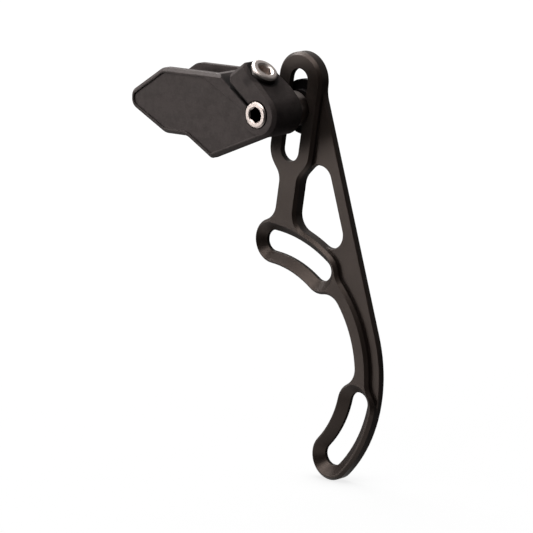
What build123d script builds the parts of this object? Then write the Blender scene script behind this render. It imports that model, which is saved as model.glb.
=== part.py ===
# Bicycle chain guide: a machined back plate that bolts to the frame's chain guide tabs, and a
# moulded guide clamped on a post that slides in the plate's tall slot.
# Millimetres. X to the right and Z up in the plate's plane, Y from its front to its back.
# The origin is the crank axis on the plate's back face.
from build123d import *
from math import acos, cos, degrees, radians, sin, sqrt, tan
import os

os.makedirs("parts", exist_ok=True)

# Fixing slots, on a circle about the crank axis
fixing_radius = 36.0
fixing_width = 6.5
fixing_span = 31.5
upper_fixing_angle = 70.1
lower_fixing_angle = -29.5
sink_width = 11.9
sink_angle = 90.0
upper_boss_inner = 6.4
upper_boss_outer = 7.0
lower_boss_inner = 6.6
lower_boss_outer = 7.4
boss_end_trim = 0.8

# Plate section: a thin web with a raised rail on its front
plate_thickness = 3.8
web_thickness = 1.9
rail_chamfer = 0.9
web_chamfer = 0.3

# Arm between the two bosses
arm_radius = 37.4
arm_width = 5.2

# Tall slot for the post, its back pocket and the loop round it
tall_slot_x = 10.4
tall_slot_z = 64.2
tall_slot_lean = 9.6
tall_slot_travel = 21.4
tall_slot_width = 6.8
pocket_width = 10.8
pocket_depth = 1.9
loop_width = 16.4

# Stem from the loop down to the upper boss, measured across the tall slot's centre line
stem_left = 3.1
stem_right = 4.8
stem_left_flare = 45.0
stem_right_flare = 36.0

# Straight outer edge of the web, and the window inside it
rim_angle = 16.0
strut_width = 4.15
rim_top_radius = 10.0
window_radius = 4.5

# Radius of the cutter that leaves the rail's inside corners
inside_radius = 5.5

# Post, collar and nut
post_height = 12.8
post_diameter = 7.7
post_chamfer = 0.4
post_proud = 0.65
post_hex = 4.0
post_hex_mouth = 4.9
post_hex_depth = 6.0
collar_diameter = 10.4
collar_length = 3.95
collar_chamfer = 0.8
stub_diameter = 6.0
stub_short = 0.3
nut_diameter = 16.4
nut_thickness = 2.2
nut_chamfer = 0.4
nut_key_short = 0.2

# Guide moulding, in a frame on the post's axis
guide_gap = 0.6
outer_plate = 2.8
channel_width = 7.5
inner_plate = 2.4
hub_diameter = 14.0
guide_chamfer = 1.0
guide_back_chamfer = 0.5
tip_x = -49.8
tip_top = 2.25
tip_bottom = -1.9
tip_fillet = 3.0
top_height = 10.5
shoulder_slope = 32.6
shoulder_fillet = 5.0
belly_depth = 9.05
belly_slope = 27.9
belly_fillet = 5.0
kink_x = -27.8
kink_fillet = 3.0
toe_x = -18.0
toe_fillet = 2.0
toe_slope = 22.0
inner_set_back = 3.7
inner_top_height = 11.3
inner_toe_rise = 2.6
core_x = -16.8
core_depth = 2.3
core_fillet = 5.0
panel_depth = 0.5
panel_rim = 1.45
panel_corner_x = -20.0
panel_hub_land = 11.6
bore_chamfer = 0.35

# Clamp ear, its slit and the pinch bolt
slit_angle = 142.3
slit_width = 0.8
slit_mouth = 1.35
ear_angle = 136.6
ear_length = 13.9
ear_end_slope = 11.0
ear_corner_x = 0.4
ear_corner_drop = 1.3
ear_corner_fillet = 1.2
ear_taper = 13.0
ear_bend = 9.3
ear_bend_taper = 30.0
bolt_reach = 8.5
bolt_from_back = 7.55
bolt_seat_height = 4.65
bolt_diameter = 5.0
bolt_length = 12.0
bolt_head_diameter = 8.5
bolt_head_height = 5.0
bolt_head_fillet = 0.9
bolt_hex = 4.0
bolt_hex_mouth = 5.2
bolt_hex_depth = 2.5

# Clearances
slide_gap = 0.05
running_clearance = 0.05
pocket_clearance = 0.1
bolt_clearance = 0.05
head_clearance = 0.1

# Places along Y, from the plate's back face forwards
collar_back_y = -plate_thickness - slide_gap
collar_front_y = collar_back_y - collar_length
guide_back_y = collar_front_y - guide_gap
guide_width = inner_plate + channel_width + outer_plate
guide_front_y = guide_back_y - guide_width
post_end_y = guide_front_y - post_proud
nut_back_y = slide_gap + nut_thickness

# Directions and places in the plate's plane
along_slot = Vector(sin(radians(tall_slot_lean)), cos(radians(tall_slot_lean)))
across_slot = Vector(cos(radians(tall_slot_lean)), -sin(radians(tall_slot_lean)))
rim_normal = Vector(cos(radians(rim_angle)), sin(radians(rim_angle)))
rim_distance = fixing_radius + lower_boss_outer
window_distance = rim_distance - strut_width
upper_boss_radius = fixing_radius + upper_boss_outer
upper_boss_middle = fixing_radius + (upper_boss_outer - upper_boss_inner) / 2
lower_boss_middle = fixing_radius + (lower_boss_outer - lower_boss_inner) / 2
loop_radius = loop_width / 2
hub_radius = hub_diameter / 2


def crank_point(radius, angle):
    """A point at a radius and an angle about the crank axis."""
    return Vector(radius * cos(radians(angle)), radius * sin(radians(angle)))


def slot_point(across, along):
    """A point given across and along the tall slot, from its lower centre."""
    return Vector(tall_slot_x, tall_slot_z) + across_slot * across + along_slot * along


def along_to_circle(across, radius):
    """Where a line beside the tall slot's centre line comes down on a circle about the crank axis."""
    start = slot_point(across, 0)
    toward = start.dot(along_slot)
    return sqrt(toward**2 - start.dot(start) + radius**2) - toward


def flare_tangent(side, flare):
    """Where a flared side of the stem leaves the loop's round lower end, across and along the slot."""
    return (side * loop_radius * cos(radians(flare)), -loop_radius * sin(radians(flare)))


def flare_foot(side, stem, flare):
    """Where a flared side meets the stem's straight side, across and along the slot."""
    run = (loop_radius * cos(radians(flare)) - stem) / sin(radians(flare))
    return (side * stem, -loop_radius * sin(radians(flare)) - run * cos(radians(flare)))


def nearest(vertices, point):
    """The vertex nearest to a point."""
    return vertices.sort_by_distance(point)[0]


upper_start = upper_fixing_angle - fixing_span / 2
lower_start = lower_fixing_angle - fixing_span / 2
lower_end = lower_fixing_angle + fixing_span / 2
upper_arc = CenterArc((0, 0), fixing_radius, upper_start, fixing_span)
lower_arc = CenterArc((0, 0), fixing_radius, lower_start, fixing_span)
upper_boss_arc = CenterArc((0, 0), upper_boss_middle, upper_start - boss_end_trim, fixing_span)
lower_boss_arc = CenterArc((0, 0), lower_boss_middle, lower_start, fixing_span - boss_end_trim)
arm_arc = CenterArc((0, 0), arm_radius, lower_end, upper_start - lower_end)
tall_slot = Location(slot_point(0, 0), -tall_slot_lean)
tall_slot_middle = Location(slot_point(0, tall_slot_travel / 2), -tall_slot_lean)
slot_top = slot_point(0, tall_slot_travel)
left_foot = flare_foot(-1, stem_left, stem_left_flare)
right_foot = flare_foot(1, stem_right, stem_right_flare)
right_tangent = flare_tangent(1, stem_right_flare)
stem_end = along_to_circle(0, fixing_radius)
right_heel = slot_point(stem_right, along_to_circle(stem_right, upper_boss_radius))

# Raised rail: loop, stem, bosses and arm
with BuildSketch(Plane.XZ) as rail:
    with Locations(tall_slot_middle):
        SlotCenterToCenter(tall_slot_travel, loop_width, rotation=90)
    with Locations(tall_slot):
        Polygon(
            (-stem_left, stem_end),
            (stem_right, stem_end),
            right_foot,
            right_tangent,
            (0, 0),
            flare_tangent(-1, stem_left_flare),
            left_foot,
            align=None,
        )
    SlotArc(upper_boss_arc, upper_boss_inner + upper_boss_outer)
    SlotArc(lower_boss_arc, lower_boss_inner + lower_boss_outer)
    SlotArc(arm_arc, arm_width)
    offset(amount=inside_radius)
    offset(amount=-inside_radius)

# Window between the stem, the upper boss and the outer strut
heel_angle = rim_angle + degrees(acos(window_distance / upper_boss_radius))
right_heel_angle = degrees(acos(right_heel.X / upper_boss_radius))
flare_line = along_slot * cos(radians(stem_right_flare)) + across_slot * sin(radians(stem_right_flare))
flare_start = slot_point(*right_tangent)
flare_run = (window_distance - flare_start.dot(rim_normal)) / flare_line.dot(rim_normal)
window_top = flare_start + flare_line * flare_run
window_heel = crank_point(upper_boss_radius, heel_angle)
with BuildSketch(Plane.XZ) as window:
    with BuildLine():
        CenterArc((0, 0), upper_boss_radius, heel_angle, right_heel_angle - heel_angle)
        Polyline(right_heel, slot_point(*right_foot), window_top, window_heel)
    make_face()
    offset(amount=-window_radius)
    offset(amount=window_radius)

# Web behind the rail, out to the straight rim
rim_start = crank_point(rim_distance, rim_angle)
rim_end = slot_top + rim_normal * (rim_distance - slot_top.dot(rim_normal))
with BuildSketch(Plane.XZ) as web:
    with BuildLine():
        CenterArc((0, 0), rim_distance, lower_end, rim_angle - lower_end)
        Polyline(
            rim_start,
            rim_end,
            slot_top,
            slot_point(0, stem_end),
            crank_point(fixing_radius, upper_start),
        )
        CenterArc((0, 0), fixing_radius, upper_start, lower_end - upper_start)
        Line(crank_point(fixing_radius, lower_end), crank_point(rim_distance, lower_end))
    make_face()
    with Locations(tall_slot_middle):
        SlotCenterToCenter(tall_slot_travel, loop_width, rotation=90)
    offset(amount=rim_top_radius)
    offset(amount=-rim_top_radius)
    add(window.sketch_local, mode=Mode.SUBTRACT)

with BuildPart() as back_plate:
    extrude(web.sketch, amount=web_thickness)
    chamfer(back_plate.faces().sort_by(Axis.Y)[0].edges(), web_chamfer)
    extrude(rail.sketch, amount=plate_thickness)
    chamfer(back_plate.faces().sort_by(Axis.Y)[0].edges(), rail_chamfer)
    # Fixing slots with a countersink all round
    with BuildSketch(Plane.XZ):
        SlotArc(upper_arc, fixing_width)
        SlotArc(lower_arc, fixing_width)
    extrude(amount=plate_thickness, mode=Mode.SUBTRACT)
    sink_depth = (sink_width - fixing_width) / 2 / tan(radians(sink_angle / 2))
    for start in (upper_start, lower_start):
        outward = crank_point(1, start)
        section = Plane(
            origin=(0, 0, 0), x_dir=(outward.X, 0, outward.Y), z_dir=(outward.Y, 0, -outward.X)
        )
        with BuildSketch(section):
            with Locations((fixing_radius, plate_thickness)):
                Polygon(
                    (-sink_width / 2, 0),
                    (-fixing_width / 2, -sink_depth),
                    (fixing_width / 2, -sink_depth),
                    (sink_width / 2, 0),
                    align=None,
                )
        revolve(axis=Axis((0, 0, 0), (0, -1, 0)), revolution_arc=fixing_span, mode=Mode.SUBTRACT)
        with Locations(Plane.XZ.offset(plate_thickness)):
            with Locations(
                crank_point(fixing_radius, start), crank_point(fixing_radius, start + fixing_span)
            ):
                CounterSinkHole(fixing_width / 2, sink_width / 2, counter_sink_angle=sink_angle)
    # Tall slot and its pocket from the back
    for width, depth in ((tall_slot_width, plate_thickness), (pocket_width, pocket_depth)):
        with BuildSketch(Plane.XZ):
            with Locations(tall_slot_middle):
                SlotCenterToCenter(tall_slot_travel, width, rotation=90)
        extrude(amount=depth, mode=Mode.SUBTRACT)
back_plate.part.label = "back_plate"

# Turned pieces on the post's axis
post_place = slot_point(0, post_height)
post_axis = Axis((post_place.X, 0, post_place.Y), (0, 1, 0))
post_section = Plane(origin=(post_place.X, 0, post_place.Y), x_dir=(1, 0, 0), z_dir=(0, 0, 1))
post_front = Plane((post_place.X, post_end_y, post_place.Y), (1, 0, 0), (0, -1, 0))
at_top = (Align.CENTER, Align.CENTER, Align.MAX)
post_radius = post_diameter / 2
collar_radius = collar_diameter / 2
stub_radius = stub_diameter / 2
post_hex_lead = (post_hex_mouth - post_hex) / 2
with BuildPart() as guide_post:
    with BuildSketch(post_section):
        Polygon(
            (0, post_end_y),
            (post_radius - post_chamfer, post_end_y),
            (post_radius, post_end_y + post_chamfer),
            (post_radius, collar_front_y),
            (collar_radius - collar_chamfer, collar_front_y),
            (collar_radius, collar_front_y + collar_chamfer),
            (collar_radius, collar_back_y),
            (stub_radius, collar_back_y),
            (stub_radius, nut_back_y - stub_short),
            (0, nut_back_y - stub_short),
            align=None,
        )
    revolve(axis=post_axis)
    with BuildSketch(post_front):
        RegularPolygon(post_hex / 2, 6, major_radius=False, rotation=30)
    extrude(amount=-post_hex_depth, mode=Mode.SUBTRACT)
    with Locations(post_front):
        Cone(post_hex / 2, post_hex_mouth / 2, post_hex_lead, align=at_top, mode=Mode.SUBTRACT)
guide_post.part.label = "guide_post"

key_radius = pocket_width / 2 - pocket_clearance
key_front_y = nut_key_short - pocket_depth
nut_radius = nut_diameter / 2
nut_bore_radius = stub_radius + running_clearance
with BuildPart() as slot_nut:
    with BuildSketch(post_section):
        Polygon(
            (nut_bore_radius, key_front_y),
            (key_radius, key_front_y),
            (key_radius, slide_gap),
            (nut_radius, slide_gap),
            (nut_radius, nut_back_y - nut_chamfer),
            (nut_radius - nut_chamfer, nut_back_y),
            (nut_bore_radius, nut_back_y),
            align=None,
        )
    revolve(axis=post_axis)
slot_nut.part.label = "slot_nut"

# Guide moulding
guide_back = Plane((post_place.X, guide_back_y, post_place.Y), (1, 0, 0), (0, -1, 0))
guide_front = guide_back.offset(guide_width)
slope_across = Vector(sin(radians(toe_slope)), -cos(radians(toe_slope)))
hub_tangent = slope_across * hub_radius
toe_run = (hub_tangent.X - toe_x) / cos(radians(toe_slope))
toe_z = hub_tangent.Y - toe_run * sin(radians(toe_slope))
slit_out = Vector(cos(radians(slit_angle)), sin(radians(slit_angle)))
slit_across = Vector(slit_out.Y, -slit_out.X)
ear = Location((0, 0), ear_angle - 90)
slit = Location((0, 0), slit_angle - 90)


def draw_cheek(set_back, height, rise, top_end_x):
    """One cheek of the guide: how far its tip is set back, its height, its toe's rise, its top's end."""
    tip = tip_x + set_back
    shoulder = tip + (height - tip_top) / tan(radians(shoulder_slope))
    belly = tip + (belly_depth + tip_bottom) / tan(radians(belly_slope))
    corners = (
        (tip, tip_bottom, tip_fillet),
        (belly, -belly_depth, belly_fillet),
        (kink_x + set_back, -belly_depth, kink_fillet),
        (toe_x, toe_z + rise, toe_fillet),
        (hub_tangent.X, hub_tangent.Y + rise, 0),
        (0, 0, 0),
        (top_end_x, height, 0),
        (shoulder, height, shoulder_fillet),
        (tip, tip_top, tip_fillet),
    )
    with BuildSketch(mode=Mode.PRIVATE) as cheek:
        Polygon(*((x, z) for x, z, _ in corners), align=None)
        for x, z, size in corners:
            if size:
                fillet(nearest(cheek.vertices(), (x, z)), size)
    return cheek.sketch_local


def slit_x(height):
    """Where the slit's middle reaches a height above the post."""
    return height * slit_out.X / slit_out.Y


def draw_core():
    """The block that joins the cheeks, beside the slit and over the chain channel."""
    corner = (core_x, -core_depth)
    with BuildSketch(mode=Mode.PRIVATE) as core:
        Polygon(
            (0, -hub_radius),
            (0, 0),
            (slit_x(top_height), top_height),
            (core_x, top_height),
            corner,
            align=None,
        )
        fillet(nearest(core.vertices(), corner), core_fillet)
    return core.sketch_local


outer_cheek = draw_cheek(0, top_height, 0, slit_x(top_height))
inner_cheek = draw_cheek(inner_set_back, inner_top_height, inner_toe_rise, slit_x(inner_top_height))
ear_top = (hub_radius, ear_length)
ear_corner = (ear_corner_x, ear_length + (hub_radius - ear_corner_x) * tan(radians(ear_end_slope)))
ear_foot = (-ear_corner[1] * tan(radians(slit_angle - ear_angle)), ear_corner[1] - ear_corner_drop)
ear_reach = ear_length + hub_radius
ear_bend_cut = ear_bend * tan(radians(ear_taper))
ear_end_cut = ear_bend_cut + (ear_reach - ear_bend) * tan(radians(ear_bend_taper))
bore_radius = post_radius + running_clearance
bolt_place = post_place + slit_out * bolt_reach + slit_across * bolt_seat_height
bolt_y = guide_back_y - bolt_from_back
slit_plane = Plane(
    (post_place.X, guide_back_y, post_place.Y),
    (slit_out.X, 0, slit_out.Y),
    (slit_across.X, 0, slit_across.Y),
)
bolt_seat = Plane(
    (bolt_place.X, bolt_y, bolt_place.Y), (0, -1, 0), (slit_across.X, 0, slit_across.Y)
)
at_bottom = (Align.CENTER, Align.CENTER, Align.MIN)
with BuildSketch(mode=Mode.PRIVATE) as ear_outline:
    Polygon((0, 0), (hub_radius, 0), ear_top, ear_corner, ear_foot, align=None)
    fillet(nearest(ear_outline.vertices(), ear_corner), ear_corner_fillet)
with BuildPart() as guide_body:
    layers = (
        (inner_cheek, 0, inner_plate),
        (draw_core(), inner_plate, channel_width),
        (outer_cheek, inner_plate + channel_width, outer_plate),
    )
    for face, start, depth in layers:
        with BuildSketch(guide_back.offset(start)):
            add(face)
            Circle(hub_radius)
            with Locations(ear):
                add(ear_outline.sketch_local)
        extrude(amount=depth)
    chamfer(guide_body.faces().sort_by(Axis.Y)[0].edges(), guide_chamfer)
    chamfer(guide_body.faces().sort_by(Axis.Y)[-1].edges(), guide_back_chamfer)
    # Tapers on the back of the ear
    with BuildSketch(slit_plane):
        Polygon((0, 0), (ear_reach, 0), (ear_reach, ear_end_cut), (ear_bend, ear_bend_cut), align=None)
    extrude(amount=2 * hub_radius, mode=Mode.SUBTRACT)
    # Sunk panel on the outer cheek
    with BuildSketch(guide_front):
        add(draw_cheek(0, top_height, 0, panel_corner_x))
        offset(amount=-panel_rim)
        Circle(panel_hub_land / 2, mode=Mode.SUBTRACT)
    extrude(amount=-panel_depth, mode=Mode.SUBTRACT)
    # Bore, slit and pinch bolt hole
    with BuildSketch(guide_back):
        Circle(bore_radius)
        with Locations(slit):
            Polygon(
                (-slit_width / 2, 0),
                (slit_width / 2, 0),
                (slit_mouth / 2, ear_reach),
                (-slit_mouth / 2, ear_reach),
                align=None,
            )
    extrude(amount=guide_width, mode=Mode.SUBTRACT)
    with Locations(guide_front):
        Cone(bore_radius, bore_radius + bore_chamfer, bore_chamfer, align=at_top, mode=Mode.SUBTRACT)
    with Locations(bolt_seat):
        Cylinder(
            bolt_head_diameter / 2 + head_clearance,
            bolt_head_height,
            align=at_bottom,
            mode=Mode.SUBTRACT,
        )
        Cylinder(
            bolt_diameter / 2 + bolt_clearance,
            bolt_length + bolt_clearance,
            align=at_top,
            mode=Mode.SUBTRACT,
        )
guide_body.part.label = "guide_body"

# Pinch bolt that draws the slit closed
bolt_top = bolt_seat.offset(bolt_head_height)
bolt_hex_lead = (bolt_hex_mouth - bolt_hex) / 2
with BuildPart() as pinch_bolt:
    with Locations(bolt_seat):
        Cylinder(bolt_head_diameter / 2, bolt_head_height, align=at_bottom)
    fillet(pinch_bolt.edges().group_by(Axis(bolt_seat.origin, bolt_seat.z_dir))[-1], bolt_head_fillet)
    with Locations(bolt_seat):
        Cylinder(bolt_diameter / 2, bolt_length, align=at_top)
    with BuildSketch(bolt_top):
        RegularPolygon(bolt_hex / 2, 6, major_radius=False)
    extrude(amount=-bolt_hex_depth, mode=Mode.SUBTRACT)
    with Locations(bolt_top):
        Cone(bolt_hex / 2, bolt_hex_mouth / 2, bolt_hex_lead, align=at_top, mode=Mode.SUBTRACT)
pinch_bolt.part.label = "pinch_bolt"

for piece in (back_plate, guide_post, slot_nut, guide_body, pinch_bolt):
    export_step(piece.part, f"parts/{piece.part.label}.step")
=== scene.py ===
"""Looks for a bicycle chain guide: materials, floor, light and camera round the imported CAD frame."""
from math import cos, radians, sin

import bpy
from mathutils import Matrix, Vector


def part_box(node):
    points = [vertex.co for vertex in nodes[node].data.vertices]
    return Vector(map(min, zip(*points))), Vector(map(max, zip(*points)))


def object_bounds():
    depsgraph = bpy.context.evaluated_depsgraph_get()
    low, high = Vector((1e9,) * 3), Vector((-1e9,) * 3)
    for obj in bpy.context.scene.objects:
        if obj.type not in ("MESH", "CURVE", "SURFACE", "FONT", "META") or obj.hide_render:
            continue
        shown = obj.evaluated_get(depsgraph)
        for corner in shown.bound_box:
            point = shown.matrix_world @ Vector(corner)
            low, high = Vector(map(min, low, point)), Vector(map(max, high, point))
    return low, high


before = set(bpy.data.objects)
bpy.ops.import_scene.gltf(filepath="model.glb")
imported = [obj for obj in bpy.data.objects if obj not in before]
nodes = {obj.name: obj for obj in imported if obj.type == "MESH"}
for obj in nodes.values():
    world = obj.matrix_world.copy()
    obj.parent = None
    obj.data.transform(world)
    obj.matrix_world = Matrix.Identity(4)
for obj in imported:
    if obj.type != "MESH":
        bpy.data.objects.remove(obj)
cad_box = [list(corner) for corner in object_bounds()]
for name in ("Cube", "Camera", "Light"):
    if name in bpy.data.objects:
        bpy.data.objects.remove(bpy.data.objects[name])
scene = bpy.context.scene
scene.view_settings.view_transform = "Standard"

# Lengths are in metres, angles are written in degrees, and noise scales are per metre.
# A pair is a range: where a mask fades, or the level or share that it fades between.

# Camera, fitted to the photo
view_azimuth = 41.0
view_elevation = 10.99
view_target = Vector((0.00145, -0.0038, 0.02835))
view_distance = 1.150
view_lens = 262.4
view_sensor = 36.0
view_clip = (0.01, 100.0)

# Soft lights: name, direction from the object, width, height and power
light_distance = 1.2
lights = (
    ("left", (-0.68, -0.72, 0.10), 0.8, 0.5, 11.2),
    ("top", (-0.55, 0.22, 0.79), 0.7, 0.7, 23.0),
    ("fill", (0.15, -0.60, 0.78), 0.7, 0.5, 5.0),
)

# Colours, as linear values
plate_colour = (0.020, 0.0143, 0.0120, 1.0)
plate_dark = (0.014, 0.0100, 0.0084, 1.0)
# Plate edge colour: partly handling wear, partly a painted highlight
plate_wear_and_highlight_edge = (0.045, 0.034, 0.030, 1.0)
plate_sheen = (1.0, 0.80, 0.70, 1.0)
guide_colour = (0.057, 0.0470, 0.0448, 1.0)
guide_dark = (0.033, 0.0270, 0.0256, 1.0)
# Guide edge colour: partly scuffs, partly a painted highlight
guide_scuff_and_highlight_edge = (0.090, 0.077, 0.073, 1.0)
guide_sheen = (1.0, 0.84, 0.80, 1.0)
steel_colour = (0.57, 0.504, 0.468, 1.0)
steel_dark = (0.42, 0.36, 0.33, 1.0)
# Steel edge colour: a painted highlight
steel_edge_highlight = (0.70, 0.63, 0.59, 1.0)
# Colour of the painted shade in the bolt's socket
steel_painted_hollow_shade = (0.30, 0.23, 0.19, 1.0)
post_colour = (0.36, 0.310, 0.286, 1.0)
post_dark = (0.31, 0.266, 0.246, 1.0)
# Post edge colour: a painted highlight
post_edge_highlight = (0.46, 0.405, 0.375, 1.0)
nut_colour = (0.010, 0.008, 0.008, 1.0)
nut_dark = (0.006, 0.005, 0.005, 1.0)
# Nut edge colour: a painted highlight
nut_edge_highlight = (0.030, 0.027, 0.026, 1.0)
paper_dark = (0.018, 0.018, 0.018, 1.0)
paper_pale = (0.024, 0.024, 0.024, 1.0)
black = (0.0, 0.0, 0.0, 1.0)
white = (1.0, 1.0, 1.0, 1.0)

# Edges, by the cosine between rounded and flat normals, from plain surface to edge
edge_facing = (0.995, 0.93)
finish_samples = 6

# Plate
plate_round = 0.00016
plate_hollow_depth = 0.0025
plate_cloud_scale = 90.0
plate_grain_scale = 2600.0
plate_fine_scale = 7000.0
plate_wear_scale = 420.0
plate_mottle = (0.35, 0.65)
plate_wear = (0.40, 0.70)
plate_wear_and_highlight_share = (0.15, 0.8)
# Painted shade in the plate's hollows
plate_hollow = (0.35, 0.85)
plate_hollow_painted_shade = (0.35, 0.0)
plate_polish = (0.3, 0.7)
plate_roughness = (0.32, 0.42)
plate_shine = 0.33
plate_bump_depth = 0.00006
plate_bump_strength = 0.22
# Plate: the shade where the guide stands close in front of it
shade_reach = 0.022
shade_samples = 8
shade_open = (0.35, 0.85)
shade_heights = (0.055, 0.070)
shade_black = 0.9
shade_rougher = 0.60
# Plate: painted shade on the plain walls of the curved fixing slots, by their distance from the slots' middle
# line
slot_ring_radius = 0.036
slot_ring_half = (0.0036, 0.0042)
slot_wall_facing = (0.15, 0.35)
slot_wall_painted_shade = 0.85
slot_wall_rougher = 0.55

# Guide
guide_round = 0.00032
guide_hollow_depth = 0.0030
guide_flow_stretch = (0.5, 1.0, 1.6)
guide_flow_scale = 130.0
guide_patch_scale = 420.0
guide_speck_scale = 1900.0
guide_fine_scale = 5200.0
guide_scuff_scale = 500.0
guide_mottle = (0.39, 0.61)
guide_scuff = (0.38, 0.66)
guide_scuff_and_highlight_share = (0.2, 0.9)
# Painted shade in the guide's hollows
guide_hollow = (0.28, 0.75)
guide_hollow_painted_shade = (0.45, 0.0)
guide_polish = (0.3, 0.7)
guide_roughness = (0.46, 0.62)
guide_shine = 0.15
guide_bump_depth = 0.00008
guide_bump_strength = 0.40
# Guide: painted shade in the clamp's slit, by the distance from the post's axis, and painted shadow in the gap
# round the bolt's head
clamp_painted_shade = 0.95
slit_half_width = (0.00070, 0.00090)
slit_start = (0.0040, 0.0045)
slit_end = (0.0150, 0.0190)
head_gap_radii = (0.0049, 0.0056)
head_gap_heights = (0.0035, 0.0045)

# Post, bolt and nut
turned_round = 0.00015
turned_mark_scale = 900.0
turned_mark_bend = 1.5
turned_cloud_scale = 350.0
turned_stain = (0.25, 0.6)
turned_hollow = (0.30, 0.85)
turned_polish = (0.2, 0.8)
turned_bump_depth = 0.00002
turned_bump_strength = 0.10
# Share of the painted highlight on turned edges
turned_edge_highlight_share = 0.7
socket_radii = (0.0026, 0.0034)
# Painted shade on the side of the bolt's head
head_side_heights = (0.0085, 0.0093)
head_side_radii = (0.0038, 0.0041)
head_side_painted_shade = 0.93

# Floor: its paper, its shadow by the object, and where its reflection fades
floor_half = 3.0
floor_fibre_scale = 40.0
floor_near = (0.10, 0.60)
floor_near_level = (0.97, 1.0)
floor_shadow_reach = 0.016
floor_shadow_samples = 16
floor_shadow = (0.4, 1.0)
floor_shadow_level = (0.84, 1.0)
floor_behind = (-0.015, 0.008)
floor_behind_level = (1.3, 0.10)
floor_far = (0.10, 0.35)
floor_far_level = (1.0, 0.30)
floor_ahead = (0.03, 0.12)
floor_ahead_level = (1.0, 0.10)

# Studio, as reflections show it: a dark side at the front right, a ceiling, and a bright patch at the upper left
studio_ambient = 0.04
studio_dark_side = (0.656, -0.755, 0.0)
studio_dark = (-0.30, 0.35)
studio_dark_level = (0.26, 0.08)
studio_horizon = (-0.05, 0.20)
studio_horizon_level = (0.35, 1.0)
studio_ceiling = (0.45, 0.80)
studio_ceiling_level = (0.0, 0.12)
studio_patch_side = (-0.28, -0.45, 0.848)
studio_patch = (0.72, 0.94)
studio_patch_level = (0.0, 2.9)

# Post's and bolt's axes, from the CAD nodes and the clamp's angle
slit_angle = radians(142.3)
bolt_reach = 0.0085
post_low, post_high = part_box("guide_post")
bolt_low, bolt_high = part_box("pinch_bolt")
post_point = (post_low + post_high) / 2
slit_out = Vector((cos(slit_angle), 0.0, sin(slit_angle)))
slit_across = Vector((slit_out.z, 0.0, -slit_out.x))
bolt_point = Vector((post_point.x, (bolt_low.y + bolt_high.y) / 2, post_point.z)) + slit_out * bolt_reach
post_turn = (radians(90.0), 0.0, 0.0)
bolt_turn = (0.0, radians(180.0) - slit_angle, 0.0)


def add(tree, kind, inputs=None, **settings):
    """A shader node with its settings, and its inputs set to a value or linked to a socket."""
    made = tree.nodes.new("ShaderNode" + kind)
    for name, value in settings.items():
        setattr(made, name, value)
    for key, value in (inputs or {}).items():
        if isinstance(value, bpy.types.NodeSocket):
            tree.links.new(value, made.inputs[key])
        else:
            made.inputs[key].default_value = value
    return made


def maths(tree, operation, *values):
    """The result of one Math node."""
    return add(tree, "Math", dict(enumerate(values)), operation=operation).outputs["Value"]


def times(tree, first, second):
    """Two values multiplied."""
    return maths(tree, "MULTIPLY", first, second)


def plus(tree, first, second):
    """Two values added."""
    return maths(tree, "ADD", first, second)


def mixture(tree, *parts):
    """Values added up, each times its share."""
    total = None
    for value, share in parts:
        part = times(tree, value, share)
        total = part if total is None else plus(tree, total, part)
    return total


def vector(tree, operation, *values):
    """The vector from one Vector Math node."""
    return add(tree, "VectorMath", dict(enumerate(values)), operation=operation).outputs["Vector"]


def dot(tree, first, second):
    """The dot product of two vectors."""
    made = add(tree, "VectorMath", {0: first, 1: second}, operation="DOT_PRODUCT")
    return made.outputs["Value"]


def length(tree, value):
    """The length of a vector."""
    return add(tree, "VectorMath", {0: value}, operation="LENGTH").outputs["Value"]


def axis(tree, value, letter):
    """One of a vector's X, Y and Z."""
    return add(tree, "SeparateXYZ", {"Vector": value}).outputs[letter]


def noise(tree, place, scale, detail=3.0, rough=0.55):
    """Noise as a value from 0 to 1."""
    values = {"Vector": place, "Scale": scale, "Detail": detail, "Roughness": rough}
    return add(tree, "TexNoise", values, normalize=True).outputs["Fac"]


def occlusion(tree, distance, samples):
    """1 in the open and less in hollows, within a distance."""
    return add(tree, "AmbientOcclusion", {"Distance": distance}, samples=samples).outputs["AO"]


def spread(tree, value, source, target=(0.0, 1.0)):
    """A value mapped smoothly from one range to another, and held at both ends."""
    values = {"Value": value, "From Min": source[0], "From Max": source[1],
              "To Min": target[0], "To Max": target[1]}
    return add(tree, "MapRange", values, interpolation_type="SMOOTHSTEP").outputs["Result"]


def blend(tree, share, first, second):
    """Two colours mixed by a share."""
    return add(tree, "Mix", {0: share, 6: first, 7: second}, data_type="RGBA").outputs[2]


def darken(tree, colour, share):
    """A colour mixed with a share of black."""
    return blend(tree, share, colour, black)


def offset_along(tree, place, point, direction):
    """How far a place lies from a point, along a direction."""
    return dot(tree, vector(tree, "SUBTRACT", place, point), direction)


def local_place(tree, place, point, turn):
    """A place seen from an axis, its distance from the axis, and its height along it."""
    settings = {"Vector": place, "Location": point, "Rotation": turn}
    local = add(tree, "Mapping", settings, vector_type="TEXTURE").outputs["Vector"]
    radius = length(tree, vector(tree, "MULTIPLY", local, (1.0, 1.0, 0.0)))
    return local, radius, axis(tree, local, "Z")


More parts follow.
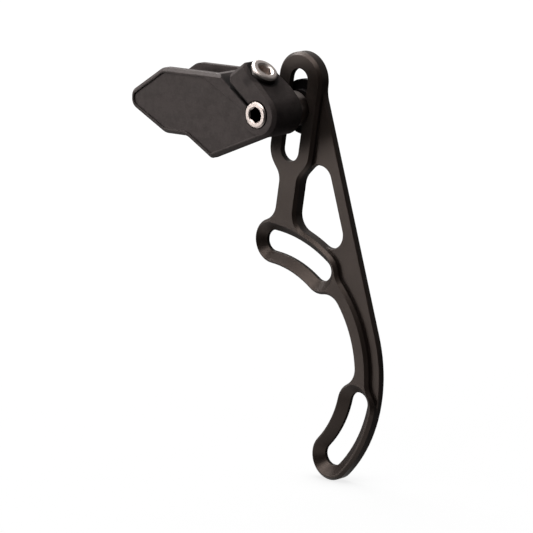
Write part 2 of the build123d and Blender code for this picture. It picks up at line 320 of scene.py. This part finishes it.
class Finish:
    """A material in the making: the object's own place, its normals, edges and hollows, then one shader."""

    def __init__(self, name, round_radius, hollow_depth):
        self.material = bpy.data.materials.new(name)
        self.material.use_nodes = True
        self.tree = self.material.node_tree
        self.tree.nodes.clear()
        self.place = add(self.tree, "TexCoord").outputs["Object"]
        bevel = add(self.tree, "Bevel", {"Radius": round_radius}, samples=finish_samples)
        self.rounded = bevel.outputs["Normal"]
        self.flat = add(self.tree, "NewGeometry").outputs["Normal"]
        self.edge = spread(self.tree, dot(self.tree, self.rounded, self.flat), edge_facing)
        self.open = occlusion(self.tree, hollow_depth, finish_samples)

    def close(self, colour, roughness, bump, bump_depth, bump_strength, **values):
        """Ends the material in one shader, with fixed values set on the shader itself."""
        relief = {"Height": bump, "Distance": bump_depth, "Strength": bump_strength, "Normal": self.rounded}
        normal = add(self.tree, "Bump", relief).outputs["Normal"]
        inputs = {"Base Color": colour, "Roughness": roughness, "Normal": normal, **values}
        shader = add(self.tree, "BsdfPrincipled", inputs)
        add(self.tree, "OutputMaterial", {"Surface": shader.outputs["BSDF"]})
        return self.material


def slot_wall(tree, place, normal):
    """1 on the plain walls of the curved fixing slots, which look black in the photo and get painted shade, and
    0 elsewhere.
    """
    radius = length(tree, vector(tree, "MULTIPLY", place, (1.0, 0.0, 1.0)))
    off_ring = maths(tree, "ABSOLUTE", maths(tree, "SUBTRACT", radius, slot_ring_radius))
    in_ring = spread(tree, off_ring, slot_ring_half, (1.0, 0.0))
    facing = maths(tree, "ABSOLUTE", axis(tree, normal, "Y"))
    return times(tree, spread(tree, facing, slot_wall_facing, (1.0, 0.0)), in_ring)


def guide_shade(tree, place):
    """1 on the plate where the guide stands close in front of it, and 0 in the open or lower down."""
    near = spread(tree, occlusion(tree, shade_reach, shade_samples), shade_open, (1.0, 0.0))
    return times(tree, near, spread(tree, axis(tree, place, "Z"), shade_heights))


def anodised(name):
    """Blasted and dark anodised aluminium, paler at its edges as handling wear and as a painted highlight."""
    finish = Finish(name, plate_round, plate_hollow_depth)
    tree, place = finish.tree, finish.place
    clouds = noise(tree, place, plate_cloud_scale, detail=4.0)
    grain = noise(tree, place, plate_grain_scale, detail=2.0)
    fine = noise(tree, place, plate_fine_scale, detail=2.0)
    wear = noise(tree, place, plate_wear_scale)
    mottled = spread(tree, mixture(tree, (clouds, 0.6), (grain, 0.4)), plate_mottle)
    colour = blend(tree, mottled, plate_dark, plate_colour)
    # Paler edges: partly wear, partly a painted highlight
    edge_wear_and_highlight = times(tree, finish.edge, spread(tree, wear, plate_wear, plate_wear_and_highlight_share))
    colour = blend(tree, edge_wear_and_highlight, colour, plate_wear_and_highlight_edge)
    # Painted shade in hollows
    colour = darken(tree, colour, spread(tree, finish.open, plate_hollow, plate_hollow_painted_shade))
    shaded = guide_shade(tree, place)
    colour = darken(tree, colour, times(tree, shaded, shade_black))
    # Painted shade on the slot walls
    wall = slot_wall(tree, place, finish.flat)
    colour = darken(tree, colour, times(tree, wall, slot_wall_painted_shade))
    polish = spread(tree, mixture(tree, (clouds, 0.5), (grain, 0.5)), plate_polish, plate_roughness)
    rougher = mixture(tree, (wall, slot_wall_rougher), (shaded, shade_rougher))
    bump = mixture(tree, (grain, 0.75), (fine, 0.25))
    return finish.close(colour, plus(tree, polish, rougher), bump, plate_bump_depth, plate_bump_strength,
                        **{"Specular IOR Level": plate_shine, "Specular Tint": plate_sheen})


def slit_painted_shade(tree, place):
    """The share of painted shade on the walls of the clamp's slit, from the post outward."""
    across = maths(tree, "ABSOLUTE", offset_along(tree, place, post_point, slit_across))
    out = offset_along(tree, place, post_point, slit_out)
    begun = times(tree, spread(tree, across, slit_half_width, (clamp_painted_shade, 0.0)), spread(tree, out, slit_start))
    return times(tree, begun, spread(tree, out, slit_end, (1.0, 0.0)))


def head_gap_painted_shadow(tree, place):
    """The share of painted shadow on the guide, in the narrow gap round the pinch bolt's head."""
    radius, along = local_place(tree, place, bolt_point, bolt_turn)[1:]
    near = spread(tree, radius, head_gap_radii, (clamp_painted_shade, 0.0))
    return times(tree, near, spread(tree, along, head_gap_heights))


def moulded(name):
    """Black moulded nylon with a fine spark texture, faint flow marks, and edges paler as scuffs and as a
    painted highlight.
    """
    finish = Finish(name, guide_round, guide_hollow_depth)
    tree, place = finish.tree, finish.place
    flow_place = add(tree, "Mapping", {"Vector": place, "Scale": guide_flow_stretch}).outputs["Vector"]
    flow = noise(tree, flow_place, guide_flow_scale, detail=5.0, rough=0.6)
    patches = noise(tree, place, guide_patch_scale, detail=5.0, rough=0.62)
    speck = noise(tree, place, guide_speck_scale, detail=2.0)
    fine = noise(tree, place, guide_fine_scale, detail=2.0)
    scuffs = noise(tree, place, guide_scuff_scale)
    mottled = spread(tree, mixture(tree, (flow, 0.40), (patches, 0.40), (speck, 0.20)), guide_mottle)
    colour = blend(tree, mottled, guide_dark, guide_colour)
    # Paler edges: partly scuffs, partly a painted highlight
    edge_scuff_and_highlight = times(tree, finish.edge, spread(tree, scuffs, guide_scuff, guide_scuff_and_highlight_share))
    colour = blend(tree, edge_scuff_and_highlight, colour, guide_scuff_and_highlight_edge)
    # Painted shade in hollows
    colour = darken(tree, colour, spread(tree, finish.open, guide_hollow, guide_hollow_painted_shade))
    # Painted shade in the clamp's slit
    colour = darken(tree, colour, slit_painted_shade(tree, place))
    # Painted shadow round the bolt's head
    colour = darken(tree, colour, head_gap_painted_shadow(tree, place))
    roughness = spread(tree, mixture(tree, (flow, 0.6), (speck, 0.4)), guide_polish, guide_roughness)
    bump = mixture(tree, (speck, 0.6), (fine, 0.4))
    return finish.close(colour, roughness, bump, guide_bump_depth, guide_bump_strength,
                        **{"Specular IOR Level": guide_shine, "Specular Tint": guide_sheen})


def turned(name, axis_point, axis_turn, colours, roughness_range, metallic, shine, hollow_depth,
           hollow_shade_share, outside_shade_share, dark_side=False):
    """Turned metal, with rings round its axis and a polish that varies.

    Hollows take a painted shade in their own colour: a share of it in the socket, and a part of that share
    elsewhere.
    A screw's head gets painted shade on its side below its rounded rim.
    """
    finish = Finish(name, turned_round, hollow_depth)
    tree, place = finish.tree, finish.place
    body, dark, edge, hollow = colours
    on_axis, radius, along = local_place(tree, place, axis_point, axis_turn)
    waves = {"Vector": on_axis, "Scale": turned_mark_scale, "Distortion": turned_mark_bend,
             "Detail": 2.0, "Detail Scale": 1.0}
    rings = add(tree, "TexWave", waves, wave_type="RINGS", rings_direction="Z").outputs["Fac"]
    bands = add(tree, "TexWave", waves, wave_type="BANDS", bands_direction="Z").outputs["Fac"]
    marks = mixture(tree, (rings, 0.5), (bands, 0.5))
    stained = mixture(tree, (noise(tree, place, turned_cloud_scale), 0.88), (marks, 0.12))
    colour = blend(tree, spread(tree, stained, turned_stain), dark, body)
    # Painted shade in hollows, strongest inside the socket
    socket_painted_shade = times(tree, spread(tree, finish.open, turned_hollow, (hollow_shade_share, 0.0)),
                 spread(tree, radius, socket_radii, (1.0, outside_shade_share)))
    colour = blend(tree, socket_painted_shade, colour, hollow)
    # Painted highlight on the edges
    colour = blend(tree, times(tree, finish.edge, turned_edge_highlight_share), colour, edge)
    # Painted shade on the side of a screw's head
    if dark_side:
        side = times(tree, spread(tree, along, head_side_heights, (head_side_painted_shade, 0.0)),
                     spread(tree, radius, head_side_radii))
        colour = darken(tree, colour, side)
    roughness = spread(tree, stained, turned_polish, roughness_range)
    return finish.close(colour, roughness, marks, turned_bump_depth, turned_bump_strength,
                        **{"Metallic": metallic, "Specular IOR Level": shine})


post_steel = (post_colour, post_dark, post_edge_highlight, black)
bolt_steel = (steel_colour, steel_dark, steel_edge_highlight, steel_painted_hollow_shade)
nut_black = (nut_colour, nut_dark, nut_edge_highlight, black)
finishes = {
    "back_plate": anodised("anodised_aluminium"),
    "guide_body": moulded("moulded_nylon"),
    "guide_post": turned("turned_steel", post_point, post_turn, post_steel, roughness_range=(0.38, 0.28),
                         metallic=1.0, shine=0.5, hollow_depth=0.006, hollow_shade_share=0.95, outside_shade_share=0.90),
    "pinch_bolt": turned("bolt_steel", bolt_point, bolt_turn, bolt_steel, roughness_range=(0.46, 0.34),
                         metallic=0.88, shine=0.5, hollow_depth=0.003, hollow_shade_share=0.40, outside_shade_share=0.8,
                         dark_side=True),
    "slot_nut": turned("black_oxide_steel", post_point, post_turn, nut_black, roughness_range=(0.48, 0.32),
                       metallic=0.0, shine=0.1, hollow_depth=0.002, hollow_shade_share=0.80, outside_shade_share=1.0),
}
for name, material in finishes.items():
    mesh = nodes[name].data
    mesh.materials.clear()
    mesh.materials.append(material)

# Floor
floor_z = cad_box[0][2]
floor_mesh = bpy.data.meshes.new("floor")
corners = [(-floor_half, -floor_half, floor_z), (floor_half, -floor_half, floor_z),
           (floor_half, floor_half, floor_z), (-floor_half, floor_half, floor_z)]
floor_mesh.from_pydata(corners, [], [(0, 1, 2, 3)])
floor = bpy.data.objects.new("floor", floor_mesh)
scene.collection.objects.link(floor)


def reflected_share(tree, path):
    """1 for rays that show the surroundings in the object, and 0 for the others."""
    return maths(tree, "MAXIMUM", path.outputs["Is Glossy Ray"], path.outputs["Is Transmission Ray"])


def floor_paper(name):
    """Paper that is white to the camera with a soft shadow by the object, and throws little light back.

    In reflections it is bright in front of the plate, and dark behind it, far off and on the dark side.
    """
    material = bpy.data.materials.new(name)
    material.use_nodes = True
    tree = material.node_tree
    tree.nodes.clear()
    place = add(tree, "TexCoord").outputs["Object"]
    path = add(tree, "LightPath")
    fibre = noise(tree, place, floor_fibre_scale)
    lit = add(tree, "BsdfDiffuse", {"Color": blend(tree, fibre, paper_dark, paper_pale)})
    apart = length(tree, place)
    touch = occlusion(tree, floor_shadow_reach, floor_shadow_samples)
    level = times(tree, spread(tree, apart, floor_near, floor_near_level),
                  spread(tree, touch, floor_shadow, floor_shadow_level))
    mirrored = times(tree, spread(tree, axis(tree, place, "Y"), floor_behind, floor_behind_level),
                     spread(tree, apart, floor_far, floor_far_level))
    ahead = dot(tree, place, studio_dark_side)
    mirrored = times(tree, mirrored, spread(tree, ahead, floor_ahead, floor_ahead_level))
    shown = plus(tree, path.outputs["Is Camera Ray"], times(tree, reflected_share(tree, path), mirrored))
    glow = add(tree, "Emission", {"Color": white, "Strength": times(tree, shown, level)})
    both = add(tree, "AddShader", {0: lit.outputs["BSDF"], 1: glow.outputs["Emission"]})
    add(tree, "OutputMaterial", {"Surface": both.outputs["Shader"]})
    return material


def studio_world(name):
    """A world that is white to the camera, dim as a light, and shows the studio in reflections."""
    world = bpy.data.worlds.new(name)
    world.use_nodes = True
    tree = world.node_tree
    tree.nodes.clear()
    path = add(tree, "LightPath")
    toward = add(tree, "TexCoord").outputs["Generated"]
    height = axis(tree, toward, "Z")
    ahead = dot(tree, toward, studio_dark_side)
    walls = times(tree, spread(tree, ahead, studio_dark, studio_dark_level),
                  spread(tree, height, studio_horizon, studio_horizon_level))
    ceiling = spread(tree, height, studio_ceiling, studio_ceiling_level)
    patch = spread(tree, dot(tree, toward, studio_patch_side), studio_patch, studio_patch_level)
    mirrored = plus(tree, plus(tree, walls, ceiling), patch)
    plain = spread(tree, path.outputs["Is Camera Ray"], (0.0, 1.0), (studio_ambient, 1.0))
    strength = plus(tree, plain, times(tree, reflected_share(tree, path), mirrored))
    sky = add(tree, "Background", {"Color": white, "Strength": strength})
    add(tree, "OutputWorld", {"Surface": sky.outputs["Background"]})
    return world


def softbox(name, direction, width, height, power):
    """A rectangular soft light that looks at the middle of the object."""
    data = bpy.data.lights.new(name, "AREA")
    data.shape = "RECTANGLE"
    data.size = width
    data.size_y = height
    data.energy = power
    lamp = bpy.data.objects.new(name, data)
    away = Vector(direction).normalized()
    lamp.location = view_target + away * light_distance
    lamp.rotation_mode = "QUATERNION"
    lamp.rotation_quaternion = away.to_track_quat("Z", "Y")
    scene.collection.objects.link(lamp)


floor_mesh.materials.append(floor_paper("floor_white"))
scene.world = studio_world("studio")
for light in lights:
    softbox(*light)

# Camera
azimuth = radians(view_azimuth)
elevation = radians(view_elevation)
to_camera = Vector((sin(azimuth) * cos(elevation), -cos(azimuth) * cos(elevation), sin(elevation)))
camera_data = bpy.data.cameras.new("camera")
camera_data.lens = view_lens
camera_data.sensor_width = view_sensor
camera_data.clip_start, camera_data.clip_end = view_clip
camera = bpy.data.objects.new("camera", camera_data)
camera.location = view_target + to_camera * view_distance
camera.rotation_mode = "QUATERNION"
camera.rotation_quaternion = to_camera.to_track_quat("Z", "Y")
scene.collection.objects.link(camera)
scene.camera = camera
